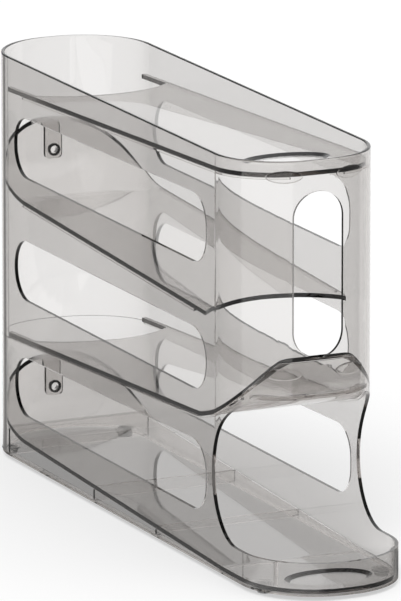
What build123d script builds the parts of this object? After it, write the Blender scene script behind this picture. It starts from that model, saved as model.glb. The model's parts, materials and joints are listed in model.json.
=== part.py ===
from build123d import *
import math
import os

# Overall sizes in mm. While modelling, Y is counted back from the tall front face
# and Z up from the skirt's lower edge; place() moves all to the shared frame.
WIDTH = 85.0
LENGTH = 380.0
NOSE = 38.0
FOOT_H = 2.5
BACK = LENGTH - NOSE

# Wall and deck stock, and the round ends of the plan
WALL = 2.0
DECK_T = 2.4
END_FLAT = 5.0
FRONT_FLAT = 13.0
END_R = (WIDTH - END_FLAT) / 2
FRONT_R = (WIDTH - FRONT_FLAT) / 2

# Rails on the walls that carry the upper three decks
RAIL_W = 1.5
RAIL_T = 1.0
RAIL_GAP = 30.0

# Clearances
SEAT = 0.2
FIT = 0.35
PIN_FIT = 0.3

# Heights of the deck tops, each from the one below, and the rim
BOTTOM_Z = 3.5
TIER_BOTTOM = 76.5
TIER_THIRD = 50.0
TIER_SECOND = 87.5
RIM_H = 3.5
THIRD_Z = BOTTOM_Z + TIER_BOTTOM
SECOND_Z = THIRD_Z + TIER_THIRD
TOP_Z = SECOND_Z + TIER_SECOND
BODY_H = TOP_Z + RIM_H

# Slopes as rise per length, and where the raised back ends begin
TOP_SLOPE = -0.0375
SECOND_SLOPE = 0.0446
THIRD_SLOPE = -0.0468
BOTTOM_SLOPE = 0.037
RAISED_SLOPE = 0.8
RAISED_R = 60.0
RAISED_AT = BACK - END_R - 1.0

# Ramp at the front of the third deck: ledge, steep part, shallow part
LEDGE_UP = 37.6
LEDGE_Z = THIRD_Z + LEDGE_UP
LEDGE_DEPTH = 4.3
RAMP_MID_Y = 22.0
RAMP_MID_UP = 8.5
RAMP_END_Y = 56.0
RAMP_LEDGE_R = DECK_T + SEAT + RAIL_T + 0.3
RAMP_R = 66.0
RAMP_END_R = 18.0

# Deck top lines as (depth, height) with the rounding radius at each inner point.
# They run past both ends of the body.
FAR = 60.0
NEAR_Y = -FAR
FAR_Y = BACK + FAR
NOSE_END_Y = 30.0
TOP_LINE = [(NEAR_Y, TOP_Z), (FAR_Y, TOP_Z + TOP_SLOPE * (FAR_Y - NEAR_Y))]
TOP_R = []
SECOND_TURN = SECOND_Z + SECOND_SLOPE * (RAISED_AT - NEAR_Y)
SECOND_END = SECOND_TURN + RAISED_SLOPE * (FAR_Y - RAISED_AT)
SECOND_LINE = [(NEAR_Y, SECOND_Z), (RAISED_AT, SECOND_TURN), (FAR_Y, SECOND_END)]
SECOND_R = [RAISED_R]
RAMP_MID = (RAMP_MID_Y, THIRD_Z + RAMP_MID_UP)
THIRD_END = THIRD_Z + THIRD_SLOPE * (FAR_Y - RAMP_END_Y)
THIRD_LINE = [(NEAR_Y, LEDGE_Z), (LEDGE_DEPTH, LEDGE_Z), RAMP_MID, (RAMP_END_Y, THIRD_Z), (FAR_Y, THIRD_END)]
THIRD_R = [RAMP_LEDGE_R, RAMP_R, RAMP_END_R]
BOTTOM_TURN = BOTTOM_Z + BOTTOM_SLOPE * (RAISED_AT - NOSE_END_Y)
BOTTOM_END = BOTTOM_TURN + RAISED_SLOPE * (FAR_Y - RAISED_AT)
BOTTOM_LINE = [(NEAR_Y, BOTTOM_Z), (NOSE_END_Y, BOTTOM_Z), (RAISED_AT, BOTTOM_TURN), (FAR_Y, BOTTOM_END)]
BOTTOM_R = [RAISED_R, RAISED_R]

# Front cutout in the lower shell and the lip of the nose
LIP_UP = 14.0
CUT_WAIST_DOWN = 28.0
CUT_TOP_DOWN = 22.6
CUT_PAST_CORNER = 3.2
CUT_LOW_A = 28.0
LIP_Z = BOTTOM_Z + LIP_UP
CUT_WAIST_Z = THIRD_Z - CUT_WAIST_DOWN
CUT_TOP_Z = LEDGE_Z - CUT_TOP_DOWN
CUT_DEPTH = FRONT_R + CUT_PAST_CORNER
BAND_FLANGE_W = 5.0
BAND_FLANGE_T = 2.0
BAND_FLANGE_DEPTH = 14.0

# Drop openings with one radius for their curved edges
DROP_PAST_WALL = 11.2
DROP_R = WIDTH / 2 + DROP_PAST_WALL
DROP_BACK_EDGE = BACK - END_R - 45.7
DROP_FRONT_EDGE = FRONT_R + 31.2
ARM_W = 2.6
ARM_BACK = BACK - END_R + 2.0

# Windows as bottom, top at the front end, top at the back end; their corner radius as a share of the latter
COLUMN_W = 7.6
WINDOW_FRONT = CUT_DEPTH + COLUMN_W
WINDOW_BACK = BACK - END_R - 9.0
WINDOW_ROUND = 0.488
WINDOW_SECOND = (SECOND_Z + 28.6, TOP_Z - 21.7, TOP_Z - 26.2)
WINDOW_THIRD = (THIRD_Z + 11.0, SECOND_Z - 5.7, SECOND_Z - 5.7)
WINDOW_BOTTOM = (BOTTOM_Z + 23.3, THIRD_Z - 15.4, THIRD_Z - 20.9)

# Front slot in the upper shell
SLOT_W = 28.0
SLOT_BRIDGE = 1.4
SLOT_TOP = TOP_Z - 13.0
SLOT_BOTTOM = LEDGE_Z - DECK_T + SLOT_BRIDGE

# Skirt ribs as shares of the body's depth, flange, nose ribs and feet
RIB_SHARES = [0.088, 0.323, 0.556, 0.8845]
RIB_T = 2.0
RIB_Z = 0.4
SKIRT_FLANGE_W = 4.0
SKIRT_FLANGE_T = 1.0
NOSE_RIB_ANGLE = 35.0
NOSE_RIB_W = 1.6
NOSE_RIB_OUT = 1.4
FOOT_D = 8.0
FOOT_STEM_D = 3.0
FOOT_PAD_D = 11.0
FOOT_X = WIDTH / 2 - 9.0
FOOT_FRONT = 31.5 - NOSE
FOOT_REAR = BACK - 24.0

# Where the rails begin and end along the walls
RAIL_FRONT = DROP_FRONT_EDGE - 4.0
RAIL_BACK = BACK - END_R - 18.5

# Retaining pins in a flange under the raised back ends of two decks
PIN_D = 4.0
PIN_HEAD_D = 7.0
PIN_HEAD_T = 1.6
PIN_DOWN = 19.0
PIN_FLANGE_W = 10.0
PIN_FLANGE_DOWN = 5.0

# Shallow oval hollows that hold the foremost piece of the load, on the top deck and in the nose
HOLLOW_A = 24.0
HOLLOW_B = 15.0
HOLLOW_DEPTH = 1.4
HOLLOW_SLOPE = 3.0
HOLLOW_TOP_Y = 40.0
HOLLOW_NOSE_Y = 26.0 - NOSE
DISH_OVER = 0.5

# Oval bumps outside on the front wall, in pairs at two heights
BUMP_W = 18.0
BUMP_H = 6.6
BUMP_OUT = 0.8
BUMP_X = 18.5
BUMP_HIGH_Z = TOP_Z - 4.6
BUMP_LOW_Z = LEDGE_Z - 8.6

# Edge roundings
RIM_ROUND = 0.8
EDGE_ROUND = 0.6
BUMP_ROUND = 0.7


def plan(front, front_r, inset=0.0):
    """Plan outline with round corners, moved in by inset."""
    y0, y1 = front + inset, BACK - inset
    face = Pos(0, (y0 + y1) / 2) * Rectangle(WIDTH - 2 * inset, y1 - y0)
    face = fillet(face.vertices().group_by(Axis.Y)[-1], END_R - inset)
    return fillet(face.vertices().group_by(Axis.Y)[0], front_r - inset)


def prism(face, low, high):
    return Pos(0, 0, low) * extrude(face, high - low)


def tube(front, front_r, low, high, inset=0.0, width=WALL):
    """Wall standing on the plan outline."""
    outer = plan(front, front_r, inset)
    inner = plan(front, front_r, inset + width)
    return prism(outer, low, high) - prism(inner, low, high)


def cross(a, b, c, d):
    """Meeting point of line a-b with line c-d."""
    ux, uz = b[0] - a[0], b[1] - a[1]
    vx, vz = d[0] - c[0], d[1] - c[1]
    t = ((c[0] - a[0]) * vz - (c[1] - a[1]) * vx) / (ux * vz - uz * vx)
    return (a[0] + t * ux, a[1] + t * uz)


def lifted(points, lift):
    """The run of points moved by lift along its own normal."""
    pairs = []
    for a, b in zip(points[:-1], points[1:]):
        size = math.hypot(b[0] - a[0], b[1] - a[1])
        nx, nz = -(b[1] - a[1]) / size * lift, (b[0] - a[0]) / size * lift
        pairs.append(((a[0] + nx, a[1] + nz), (b[0] + nx, b[1] + nz)))
    out = [pairs[0][0]]
    for one, two in zip(pairs[:-1], pairs[1:]):
        out.append(cross(one[0], one[1], two[0], two[1]))
    out.append(pairs[-1][1])
    return out


def rounded_run(points, radii, lift):
    """Edges of the run with rounded inner points, moved by lift."""
    pts = lifted(points, lift)
    edges = []
    start = pts[0]
    for i, radius in enumerate(radii):
        p, q, r = pts[i], pts[i + 1], pts[i + 2]
        ang_in = math.atan2(q[1] - p[1], q[0] - p[0])
        ang_out = math.atan2(r[1] - q[1], r[0] - q[0])
        turn = ang_out - ang_in
        real = radius - lift if turn > 0 else radius + lift
        back_off = real * math.tan(abs(turn) / 2)
        one = (q[0] - back_off * math.cos(ang_in), q[1] - back_off * math.sin(ang_in))
        two = (q[0] + back_off * math.cos(ang_out), q[1] + back_off * math.sin(ang_out))
        half = (ang_in + ang_out) / 2
        side = 1 if turn > 0 else -1
        depth = real * (1 / math.cos(turn / 2) - 1)
        mid = (q[0] - side * math.sin(half) * depth, q[1] + side * math.cos(half) * depth)
        edges.append(Line(start, one))
        edges.append(ThreePointArc(one, mid, two))
        start = two
    edges.append(Line(start, pts[-1]))
    return edges, pts[0], pts[-1]


def side_region(line, radii, lift, cap):
    """Solid between the lifted run and the level cap, wider than the body."""
    edges, first, last = rounded_run(line, radii, lift)
    edges.append(Polyline(last, (last[0], cap), (first[0], cap), first))
    face = make_face(edges)
    return extrude(Plane.YZ * face, WIDTH, both=True)


def above(line, radii, lift):
    return side_region(line, radii, lift, BODY_H + FAR)


def below(line, radii, lift):
    return side_region(line, radii, lift, -FAR)


def plate(line, radii):
    """Deck stock under the run, full width."""
    return above(line, radii, -DECK_T) & below(line, radii, 0.0)


def height(line, y):
    """Height of the straight run at depth y, roundings left out."""
    for a, b in zip(line[:-1], line[1:]):
        if a[0] <= y <= b[0]:
            return a[1] + (b[1] - a[1]) * (y - a[0]) / (b[0] - a[0])
    raise ValueError(y)


def deck_spot(line, y):
    """Place on the straight run at depth y, turned to its slope."""
    rise = height(line, y + 1) - height(line, y)
    return Pos(0, y, height(line, y)) * Rot(math.degrees(math.atan(rise)), 0, 0)


def window(bottom, top_front, top_back):
    """Long side opening with round ends, cut through both side walls."""
    pts = [(WINDOW_FRONT, bottom), (WINDOW_BACK, bottom), (WINDOW_BACK, top_back), (WINDOW_FRONT, top_front)]
    face = make_face(Polyline(*pts, close=True))
    face = fillet(face.vertices(), WINDOW_ROUND * (top_back - bottom))
    return extrude(Plane.YZ * face, WIDTH, both=True)


def back_drop():
    """Opening behind the curved back edge of a deck; narrow arms stay along the walls."""
    inner = plan(0, FRONT_R, WALL + ARM_W)
    disc = Pos(0, DROP_BACK_EDGE + DROP_R) * Circle(DROP_R)
    beyond = Pos(0, DROP_BACK_EDGE + DROP_R + FAR) * Rectangle(WIDTH, 2 * FAR)
    rest = Pos(0, ARM_BACK + FAR) * Rectangle(WIDTH, 2 * FAR)
    return prism((inner & (disc + beyond)) + rest, 0, BODY_H)


def front_drop():
    """Opening before the curved front edge of the second deck."""
    disc = Pos(0, DROP_FRONT_EDGE - DROP_R) * Circle(DROP_R)
    before = Pos(0, DROP_FRONT_EDGE - DROP_R - FAR) * Rectangle(WIDTH, 2 * FAR)
    return prism(disc + before, 0, BODY_H)


def hollow(line, y):
    """Shallow oval hollow in a deck at depth y, cut from a little over its face."""
    flare = HOLLOW_SLOPE / HOLLOW_DEPTH * DISH_OVER
    top = Pos(0, 0, DISH_OVER) * Ellipse(HOLLOW_A + flare, HOLLOW_B + flare)
    low = Pos(0, 0, -HOLLOW_DEPTH) * Ellipse(HOLLOW_A - HOLLOW_SLOPE, HOLLOW_B - HOLLOW_SLOPE)
    return deck_spot(line, y) * loft([low, top])


def bump(side, z):
    """Oval bump with a rounded edge outside on the front wall."""
    skin = tube(0, FRONT_R, z - BUMP_H, z + BUMP_H, -BUMP_OUT, BUMP_OUT + WALL / 2)
    oval = Plane.XZ * (Pos(side * BUMP_X, z) * Ellipse(BUMP_W / 2, BUMP_H / 2))
    body = skin & extrude(oval, FRONT_R / 2, both=True)
    return fillet(body.faces().sort_by(Axis.Y)[0].edges(), BUMP_ROUND)


def inner_deck(line, radii, front, front_r):
    """Deck stock cut to the inside of the walls."""
    return prism(plan(front, front_r, WALL + FIT), 0, BODY_H) & plate(line, radii)


def top_deck():
    """Loose top deck with the back drop and an oval hollow."""
    return inner_deck(TOP_LINE, TOP_R, 0, FRONT_R) - back_drop() - hollow(TOP_LINE, HOLLOW_TOP_Y)


def pin_z(line):
    """Height of the pin that holds the raised end of a deck."""
    return height(line, BACK - WALL) - PIN_DOWN


def pin_hole(line):
    z = pin_z(line)
    return Pos(0, BACK - WALL, z) * Rot(90, 0, 0) * Cylinder(PIN_D / 2 + PIN_FIT, 4 * FIT + 6 * WALL)


def slot():
    """Upright front slot with full round ends."""
    face = SlotOverall(SLOT_TOP - SLOT_BOTTOM, SLOT_W, rotation=90)
    return Pos(0, 0, (SLOT_TOP + SLOT_BOTTOM) / 2) * extrude(Plane.XZ * face, FRONT_R / 2, both=True)


def rail(line, radii, front, back):
    """Narrow rail on the inner face of the wall, right under a deck, between two depths."""
    under = -DECK_T - SEAT
    layer = above(line, radii, under - RAIL_T) & below(line, radii, under)
    ring = tube(0, FRONT_R, 0, BODY_H, WALL / 2, WALL / 2 + RAIL_W) & layer
    return ring & Pos(0, (front + back) / 2, BODY_H / 2) * Box(WIDTH, back - front, BODY_H)


def upper_shell():
    """Tall wall of the top three tiers with its rim, windows, slot, rails and bumps."""
    body = tube(0, FRONT_R, 0, BODY_H)
    body = fillet(body.faces().sort_by(Axis.Z)[-1].edges(), RIM_ROUND)
    body &= above(THIRD_LINE, THIRD_R, -DECK_T)
    body -= window(*WINDOW_SECOND)
    body -= window(*WINDOW_THIRD)
    body -= slot()
    body += rail(SECOND_LINE, SECOND_R, RAIL_FRONT, RAIL_BACK)
    gap = Pos(0, 0, BODY_H) * Box(RAIL_GAP, FRONT_R, BODY_H)
    body += rail(TOP_LINE, TOP_R, 0, RAIL_BACK) - gap
    for side in (-1, 1):
        body += bump(side, BUMP_HIGH_Z)
    return body - pin_hole(SECOND_LINE)


def pin_flange(line, radii):
    """Upright flange under the raised end of a deck, against the back wall."""
    outer = BACK - WALL - FIT
    low, high = pin_z(line) - PIN_FLANGE_DOWN, height(line, outer)
    flange = Pos(0, outer - DECK_T / 2, (low + high) / 2) * Box(PIN_FLANGE_W, DECK_T, high - low)
    corners = flange.edges().filter_by(Axis.Y).group_by(Axis.Z)[0]
    flange = fillet(corners, PIN_FLANGE_DOWN / 2) & below(line, radii, -DECK_T / 2)
    return flange & prism(plan(0, FRONT_R, WALL + FIT), 0, BODY_H)


def second_deck():
    """Loose deck that slopes to the front and ends in a curved drop edge."""
    body = inner_deck(SECOND_LINE, SECOND_R, 0, FRONT_R) - front_drop()
    body += pin_flange(SECOND_LINE, SECOND_R)
    return body - pin_hole(SECOND_LINE)


def third_deck():
    """Loose deck that slopes to the back, with a hollow ramp at the front."""
    return inner_deck(THIRD_LINE, THIRD_R, 0, FRONT_R) - back_drop()


def cutout():
    """Front opening of the lower shell, seen from the side, made of two quarter ovals."""
    tall, low = CUT_TOP_Z - CUT_WAIST_Z, CUT_WAIST_Z - LIP_Z
    low_y = CUT_DEPTH - CUT_LOW_A
    high_arc = EllipticalCenterArc((0, CUT_WAIST_Z), CUT_DEPTH, tall, start_angle=0, arc_size=90)
    low_arc = EllipticalCenterArc((low_y, CUT_WAIST_Z), CUT_LOW_A, low, start_angle=270, arc_size=90)
    rest = Polyline((0, CUT_TOP_Z), (-FAR, CUT_TOP_Z), (-FAR, LIP_Z), (low_y, LIP_Z))
    face = make_face([high_arc, low_arc, rest])
    return extrude(Plane.YZ * face, WIDTH, both=True)


def nose_rib(side):
    """Upright rib inside the nose wall."""
    radius = END_R - WALL + NOSE_RIB_OUT / 2 - NOSE_RIB_OUT
    centre_x = side * (WIDTH / 2 - END_R)
    turn = side * (90 - NOSE_RIB_ANGLE)
    low = height(BOTTOM_LINE, 0) + FIT
    high = LIP_Z - RIM_ROUND
    bar = Box(NOSE_RIB_W, NOSE_RIB_OUT + WALL / 2, high - low)
    bar = Pos(0, -radius - WALL / 4, (low + high) / 2) * bar
    return Pos(centre_x, END_R - NOSE, 0) * Rot(0, 0, turn) * bar


def foot_spots():
    return [(side * FOOT_X, y) for side in (-1, 1) for y in (FOOT_FRONT, FOOT_REAR)]


def cross_ribs():
    """Upright ribs across the skirt that carry the bottom deck."""
    room = prism(plan(-NOSE, END_R, WALL / 2), RIB_Z, BODY_H)
    room &= below(BOTTOM_LINE, BOTTOM_R, -DECK_T - SEAT)
    return [Pos(0, BACK * share, 0) * Box(WIDTH, RIB_T, BODY_H) & room for share in RIB_SHARES]


def lower_shell():
    """Wall of the bottom tier with the pick-up nose, cutout, band and skirt."""
    body = tube(0, FRONT_R, CUT_WAIST_Z, BODY_H) & below(THIRD_LINE, THIRD_R, -DECK_T - SEAT)
    body += tube(-NOSE, END_R, 0, CUT_WAIST_Z)
    body -= window(*WINDOW_BOTTOM)
    body -= cutout()
    body += rail(THIRD_LINE, THIRD_R, FRONT_R / 2, ARM_BACK)
    flange = tube(0, FRONT_R, CUT_TOP_Z, CUT_TOP_Z + BAND_FLANGE_T, WALL / 2, BAND_FLANGE_W)
    body += flange & Pos(0, 0, CUT_TOP_Z) * Box(WIDTH, 2 * BAND_FLANGE_DEPTH, 4 * BAND_FLANGE_T)
    body += tube(-NOSE, END_R, 0, SKIRT_FLANGE_T, WALL / 2, SKIRT_FLANGE_W)
    for rib in cross_ribs():
        body += rib
    for side in (-1, 1):
        body += nose_rib(side)
        body += bump(side, BUMP_LOW_Z) & below(THIRD_LINE, THIRD_R, -DECK_T - SEAT)
    for x, y in foot_spots():
        body += Pos(x, y, SKIRT_FLANGE_T / 2) * Cylinder(FOOT_PAD_D / 2, SKIRT_FLANGE_T)
    for x, y in foot_spots():
        body -= Pos(x, y, 0) * Cylinder(FOOT_STEM_D / 2 + PIN_FIT, 4 * SKIRT_FLANGE_T)
    return body - pin_hole(BOTTOM_LINE)


def bottom_deck():
    """Loose deck that slopes to the nose, with an oval hollow there."""
    body = inner_deck(BOTTOM_LINE, BOTTOM_R, -NOSE, END_R) + pin_flange(BOTTOM_LINE, BOTTOM_R)
    return body - hollow(BOTTOM_LINE, HOLLOW_NOSE_Y) - pin_hole(BOTTOM_LINE)


def pin(line):
    """Push pin through a deck's flange and the back wall."""
    z = pin_z(line)
    face_y = BACK - WALL - FIT - DECK_T
    head = Pos(0, face_y - PIN_HEAD_T / 2, z) * Rot(90, 0, 0) * Cylinder(PIN_HEAD_D / 2, PIN_HEAD_T)
    head = fillet(head.edges().group_by(Axis.Y)[0], EDGE_ROUND)
    length = BACK - face_y - FIT
    shank = Pos(0, face_y + length / 2, z) * Rot(90, 0, 0) * Cylinder(PIN_D / 2, length)
    return head + shank


def foot(x, y):
    """Soft foot with a short stem in the skirt's pad."""
    pad = Pos(x, y, -FOOT_H / 2) * Cylinder(FOOT_D / 2, FOOT_H)
    pad = fillet(pad.edges().group_by(Axis.Z)[0], EDGE_ROUND)
    stem = Pos(x, y, SKIRT_FLANGE_T / 2) * Cylinder(FOOT_STEM_D / 2, SKIRT_FLANGE_T)
    return pad + stem


def place(solid):
    """Move from the modelling position to the shared frame."""
    return Pos(0, NOSE - LENGTH / 2, FOOT_H) * solid


PARTS = {
    "lower_shell": lower_shell(),
    "bottom_deck": bottom_deck(),
    "bottom_deck_pin": pin(BOTTOM_LINE),
    "third_deck": third_deck(),
    "upper_shell": upper_shell(),
    "second_deck": second_deck(),
    "second_deck_pin": pin(SECOND_LINE),
    "top_deck": top_deck(),
}
FOOT_NAMES = ["foot_front_left", "foot_rear_left", "foot_front_right", "foot_rear_right"]
for name, (x, y) in zip(FOOT_NAMES, foot_spots()):
    PARTS[name] = foot(x, y)

os.makedirs("parts", exist_ok=True)
for name, solid in PARTS.items():
    export_step(place(solid), f"parts/{name}.step")
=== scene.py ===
import bpy
import json
import math
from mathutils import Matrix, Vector

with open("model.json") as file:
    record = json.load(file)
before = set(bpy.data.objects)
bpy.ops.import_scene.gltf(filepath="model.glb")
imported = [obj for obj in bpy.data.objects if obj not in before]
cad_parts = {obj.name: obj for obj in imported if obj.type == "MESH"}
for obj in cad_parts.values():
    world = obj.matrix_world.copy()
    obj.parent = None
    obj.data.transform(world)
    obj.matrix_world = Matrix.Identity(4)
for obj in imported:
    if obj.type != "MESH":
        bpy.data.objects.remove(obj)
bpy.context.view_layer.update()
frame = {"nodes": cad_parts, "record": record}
scene = bpy.context.scene
nodes = frame["nodes"]

# Clear plastic: the tint that stays after the light has gone through it, and its density per metre
SMOKE = (0.41, 0.365, 0.33)
SHELL_DENSITY = 150.0
DECK_DENSITY = 170.0
PALE = (0.9, 0.88, 0.86)
PIN_DENSITY = 60.0
PLASTIC_IOR = 1.5
# Its polish: plain roughness, and the noise span over which wipe marks vary it between two shares
SHEET_ROUGH = 0.012
PIN_ROUGH = 0.03
MARK_SPAN = (0.35, 0.75)
MARK_SHARES = (0.5, 2.0)
# Flow waves in its surface, heights in metres
WAVE_STRENGTH = 0.02
WAVE_HEIGHT = 0.0004
# Painted shade on the decks' long edges: the share of colour it leaves there, and the sideways part of the
# normal over which it comes in
EDGE_PAINTED_SHADE = 0.3
EDGE_SHADE_SPAN = (0.15, 0.5)

# Foot rubber: its grain varies the colour between a darker share and the full one
FOOT_GREY = (0.74, 0.74, 0.73)
GRAIN_DARK = 0.86
GRAIN_SPAN = (0.3, 0.7)
GRAIN_ROUGH = (0.45, 0.65)
GRAIN_STRENGTH = 0.2
GRAIN_HEIGHT = 0.0002

# What rays see of the surroundings: plain white, or the dim sides that only mirror rays find
WHITE = 1.0
DIM = 0.25
# Share of plain white in the floor for the camera and through clear plastic; the rest keeps the shadow
CAMERA_SHARE = 0.55
CLEAR_SHARE = 0.4
FLOOR_SIZE = 60.0
FLOOR_GREY = 0.93
# White for mirror rays: inner corners, in metres on the floor, of the card front left and of the backdrop
CARD_EDGE = (-0.014, -0.135)
BACKDROP_EDGE = (-0.04, -0.12)
FLOOR_SOFT = 0.012
# The same for the world's backdrop, as level parts of the direction
WORLD_EDGE = (0.0, 0.0)
WORLD_SOFT = 0.1
WORLD_LIGHT = 0.6

# Camera: place in metres, turn from +Y towards +X and tilt down in degrees, lens and sensor in mm
CAMERA_AT = (-2.0500, -4.4614, 1.2783)
CAMERA_YAW = 24.71
CAMERA_PITCH = 13.31
CAMERA_LENS = 572.4
CAMERA_SENSOR = 36.0

# Enough bounces for the many clear walls behind each other
CLEAR_BOUNCES = 24
GLOSSY_BOUNCES = 12
TRANSPARENT_BOUNCES = 16


# Node helpers

def node(tree, kind, **values):
    """New node with inputs or settings given by name."""
    n = tree.nodes.new(kind)
    for key, value in values.items():
        if key in n.inputs:
            n.inputs[key].default_value = value
        else:
            setattr(n, key, value)
    return n


def link(tree, a, out_name, b, in_name):
    tree.links.new(a.outputs[out_name], b.inputs[in_name])


def ramp(tree, span, results):
    """Map range node from a span of values to a pair of results."""
    n = node(tree, "ShaderNodeMapRange")
    n.inputs["From Min"].default_value, n.inputs["From Max"].default_value = span
    n.inputs["To Min"].default_value, n.inputs["To Max"].default_value = results
    return n


def math_node(tree, operation, *inputs):
    """Result of a math node whose inputs are other results or numbers."""
    n = node(tree, "ShaderNodeMath", operation=operation)
    for i, value in enumerate(inputs):
        if isinstance(value, (int, float)):
            n.inputs[i].default_value = value
        else:
            tree.links.new(value, n.inputs[i])
    return n.outputs["Value"]


def noise(tree, **values):
    """Noise that sticks to the piece."""
    where = node(tree, "ShaderNodeTexCoord")
    n = node(tree, "ShaderNodeTexNoise", **values)
    link(tree, where, "Object", n, "Vector")
    return n


def add_bump(tree, source, shader, strength, height):
    bump = node(tree, "ShaderNodeBump", Strength=strength, Distance=height)
    link(tree, source, "Fac", bump, "Height")
    link(tree, bump, "Normal", shader, "Normal")


def mix_shaders(tree, share, first, second, out):
    """Output surface that is the second shader by the given share and the first for the rest."""
    mix = node(tree, "ShaderNodeMixShader")
    for i, source in enumerate((share, first.outputs[0], second.outputs[0])):
        tree.links.new(source, mix.inputs[i])
    link(tree, mix, 0, out, "Surface")


# Materials

def new_material(name):
    mat = bpy.data.materials.new(name)
    mat.use_nodes = True
    tree = mat.node_tree
    tree.nodes.clear()
    out = tree.nodes.new("ShaderNodeOutputMaterial")
    return mat, tree, out


def paint_edge_shade(tree, shader):
    """Painted shade: faces that look sideways get a darker base colour, standing in for the dark bands that
    the long edges of tinted sheet show under light.
    """
    facing = node(tree, "ShaderNodeNewGeometry")
    split = node(tree, "ShaderNodeSeparateXYZ")
    link(tree, facing, "True Normal", split, "Vector")
    shade = ramp(tree, EDGE_SHADE_SPAN, (1.0, EDGE_PAINTED_SHADE))
    tree.links.new(math_node(tree, "ABSOLUTE", split.outputs["X"]), shade.inputs["Value"])
    shade_colour = node(tree, "ShaderNodeCombineColor")
    for channel in ("Red", "Green", "Blue"):
        link(tree, shade, "Result", shade_colour, channel)
    link(tree, shade_colour, "Color", shader, "Base Color")


def clear_plastic(name, tint, density, rough, painted_edge_shade=False):
    """Polished moulded clear plastic: tinted through its thickness, with faint wipe marks and flow waves."""
    mat, tree, out = new_material(name)
    shader = node(tree, "ShaderNodeBsdfPrincipled", IOR=PLASTIC_IOR)
    shader.inputs["Base Color"].default_value = (1, 1, 1, 1)
    shader.inputs["Transmission Weight"].default_value = 1.0
    link(tree, shader, "BSDF", out, "Surface")
    absorb = node(tree, "ShaderNodeVolumeAbsorption", Color=(*tint, 1), Density=density)
    link(tree, absorb, "Volume", out, "Volume")
    marks = noise(tree, Scale=95.0, Detail=5.0, Roughness=0.6)
    spread = ramp(tree, MARK_SPAN, [rough * share for share in MARK_SHARES])
    link(tree, marks, "Fac", spread, "Value")
    link(tree, spread, "Result", shader, "Roughness")
    flow = noise(tree, Scale=28.0, Detail=2.0, Roughness=0.4)
    add_bump(tree, flow, shader, WAVE_STRENGTH, WAVE_HEIGHT)
    # Painted shade: sideways faces get a darker base colour
    if painted_edge_shade:
        paint_edge_shade(tree, shader)
    return mat


def soft_rubber(name, colour):
    """Soft pale foot rubber with a fine grain."""
    mat, tree, out = new_material(name)
    shader = node(tree, "ShaderNodeBsdfPrincipled")
    link(tree, shader, "BSDF", out, "Surface")
    grain = noise(tree, Scale=2200.0, Detail=4.0, Roughness=0.6)
    tint = node(tree, "ShaderNodeMix", data_type="RGBA")
    tint.inputs["A"].default_value = (*[c * GRAIN_DARK for c in colour], 1)
    tint.inputs["B"].default_value = (*colour, 1)
    link(tree, grain, "Fac", tint, "Factor")
    tree.links.new(tint.outputs[2], shader.inputs["Base Color"])
    rough = ramp(tree, GRAIN_SPAN, GRAIN_ROUGH)
    link(tree, grain, "Fac", rough, "Value")
    link(tree, rough, "Result", shader, "Roughness")
    add_bump(tree, grain, shader, GRAIN_STRENGTH, GRAIN_HEIGHT)
    return mat


LOOKS = {
    "shell_plastic": clear_plastic("shell_plastic_look", SMOKE, SHELL_DENSITY, SHEET_ROUGH),
    # The decks carry painted shade on their sideways edges
    "deck_plastic": clear_plastic("deck_plastic_look", SMOKE, DECK_DENSITY, SHEET_ROUGH, painted_edge_shade=True),
    "pin_plastic": clear_plastic("pin_plastic_look", PALE, PIN_DENSITY, PIN_ROUGH),
    "foot_rubber": soft_rubber("foot_rubber_look", FOOT_GREY),
}

for entry in frame["record"]["subparts"]:
    obj = nodes[entry["node"]]
    obj.data.materials.clear()
    obj.data.materials.append(LOOKS[entry["material_slot"]])


# Surroundings

def by_ray(tree, camera, mirror, clear):
    """One value for camera rays, one for rays with a mirror bounce, one for rays straight through plastic."""
    path = node(tree, "ShaderNodeLightPath").outputs
    mirrored = math_node(tree, "MINIMUM", path["Glossy Depth"], 1.0)
    mirrored = math_node(tree, "MULTIPLY", mirrored, path["Is Glossy Ray"])
    straight = math_node(tree, "SUBTRACT", path["Is Transmission Ray"], mirrored)
    straight = math_node(tree, "MAXIMUM", straight, 0.0)
    total = math_node(tree, "MULTIPLY", path["Is Camera Ray"], camera)
    total = math_node(tree, "MULTIPLY_ADD", straight, clear, total)
    return math_node(tree, "MULTIPLY_ADD", mirrored, mirror, total)


def quarter(tree, coordinate, edges, soft):
    """One where both level coordinates lie past the edges, zero elsewhere; soft is signed, towards one."""
    where = node(tree, "ShaderNodeTexCoord")
    split = node(tree, "ShaderNodeSeparateXYZ")
    link(tree, where, coordinate, split, "Vector")
    sides = []
    for i, edge in enumerate(edges):
        side = ramp(tree, (edge, edge + soft), (0.0, 1.0))
        link(tree, split, i, side, "Value")
        sides.append(side.outputs["Result"])
    return math_node(tree, "MULTIPLY", *sides)


def whitened(tree, strength, mask):
    """Strength raised from dim to white where the mask is one."""
    return math_node(tree, "MULTIPLY_ADD", mask, WHITE - DIM, strength)


def floor_material():
    """Pale plain floor that keeps soft shadows and reads white to the camera and through clear plastic."""
    mat, tree, out = new_material("floor_look")
    diffuse = node(tree, "ShaderNodeBsdfDiffuse", Color=(FLOOR_GREY, FLOOR_GREY, FLOOR_GREY, 1))
    glow = node(tree, "ShaderNodeEmission")
    mirror = whitened(tree, DIM, quarter(tree, "Object", CARD_EDGE, -FLOOR_SOFT))
    mirror = whitened(tree, mirror, quarter(tree, "Object", BACKDROP_EDGE, FLOOR_SOFT))
    tree.links.new(by_ray(tree, WHITE, mirror, WHITE), glow.inputs["Strength"])
    mix_shaders(tree, by_ray(tree, CAMERA_SHARE, 1.0, CLEAR_SHARE), diffuse, glow, out)
    return mat


def add_floor():
    bpy.ops.mesh.primitive_plane_add(size=FLOOR_SIZE, location=(0, 0, 0))
    floor = bpy.context.object
    floor.name = "studio_floor"
    floor.data.materials.append(floor_material())


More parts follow.
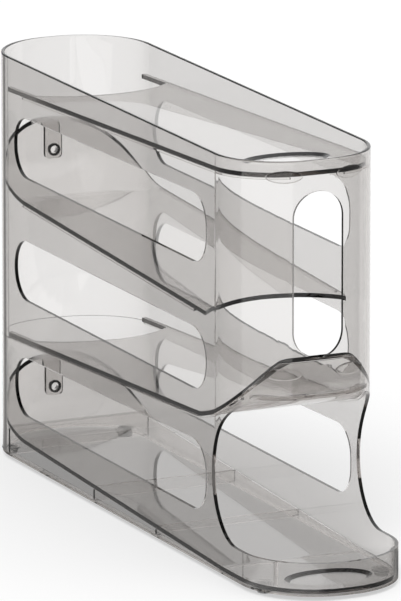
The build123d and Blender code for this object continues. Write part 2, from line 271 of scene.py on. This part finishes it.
def add_world():
    """Soft light all round that the camera, mirror rays and clear rays see as the backdrop."""
    world = bpy.data.worlds.new("studio_world")
    scene.world = world
    world.use_nodes = True
    tree = world.node_tree
    tree.nodes.clear()
    out = tree.nodes.new("ShaderNodeOutputWorld")
    lit = node(tree, "ShaderNodeBackground", Color=(1, 1, 1, 1), Strength=WORLD_LIGHT)
    seen = node(tree, "ShaderNodeBackground", Color=(1, 1, 1, 1))
    mirror = whitened(tree, DIM, quarter(tree, "Generated", WORLD_EDGE, WORLD_SOFT))
    tree.links.new(by_ray(tree, WHITE, mirror, WHITE), seen.inputs["Strength"])
    mix_shaders(tree, by_ray(tree, 1.0, 1.0, 1.0), lit, seen, out)


def distant(name, azimuth, elevation, spread, strength):
    """Even far light from a compass direction and height, softened by its spread in degrees."""
    data = bpy.data.lights.new(name, "SUN")
    data.angle = math.radians(spread)
    data.energy = strength
    obj = bpy.data.objects.new(name, data)
    scene.collection.objects.link(obj)
    a, e = math.radians(azimuth), math.radians(elevation)
    towards = Vector((math.sin(a) * math.cos(e), -math.cos(a) * math.cos(e), math.sin(e)))
    obj.rotation_euler = towards.to_track_quat("Z", "Y").to_euler()
    obj.visible_glossy = False
    obj.visible_transmission = False


def add_camera():
    data = bpy.data.cameras.new("camera")
    data.sensor_width = CAMERA_SENSOR
    data.lens = CAMERA_LENS
    camera = bpy.data.objects.new("camera", data)
    scene.collection.objects.link(camera)
    camera.location = CAMERA_AT
    yaw, pitch = math.radians(CAMERA_YAW), math.radians(CAMERA_PITCH)
    look = Vector((math.sin(yaw) * math.cos(pitch), math.cos(yaw) * math.cos(pitch), -math.sin(pitch)))
    camera.rotation_euler = look.to_track_quat("-Z", "Y").to_euler()
    scene.camera = camera


add_floor()
add_world()
distant("key", azimuth=-32, elevation=48, spread=24, strength=1.5)
distant("top", azimuth=60, elevation=74, spread=50, strength=0.6)
add_camera()

scene.view_settings.view_transform = "Standard"
scene.cycles.max_bounces = CLEAR_BOUNCES
scene.cycles.transmission_bounces = CLEAR_BOUNCES
scene.cycles.glossy_bounces = GLOSSY_BOUNCES
scene.cycles.transparent_max_bounces = TRANSPARENT_BOUNCES
scene.cycles.caustics_refractive = False
scene.cycles.caustics_reflective = False
